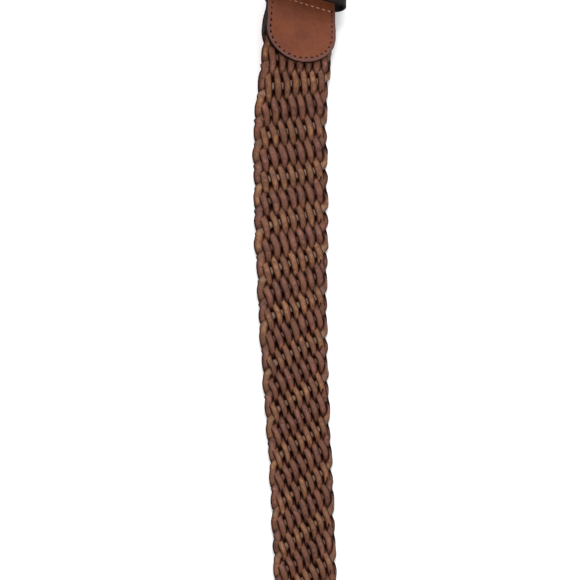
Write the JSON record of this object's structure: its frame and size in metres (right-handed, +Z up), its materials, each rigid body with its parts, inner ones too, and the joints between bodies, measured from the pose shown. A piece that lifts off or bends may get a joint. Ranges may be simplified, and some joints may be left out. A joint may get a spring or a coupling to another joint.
{
  "type": "braided leather belt",
  "caption": "Braided leather belt lying front up: plaited two-tone strap, stitched leather fold with keeper loop and plain pin buckle, stitched leather tip.",
  "frame": {"origin": "middle of the belt's footprint, on the surface that it lies on", "axes": "+X across the belt, +Y along it towards the buckle, +Z up, out of its front"},
  "size_m": [0.0458, 1.0478, 0.0354],
  "materials": {
    "tab_leather": "smooth full-grain, waxed, stitched tone on tone",
    "braid_leather": "cut laces, alternately tan and dark brown",
    "keeper_leather": "dark edge-painted leather",
    "buckle_metal": "satin antique nickel"
  },
  "bodies": {
    "root": {"buckle": "buckle_metal", "buckle_tab": "tab_leather", "keeper_loop": "keeper_leather", "braided_band": "braid_leather", "tip_tab": "tab_leather"}
  },
  "joints": []
}
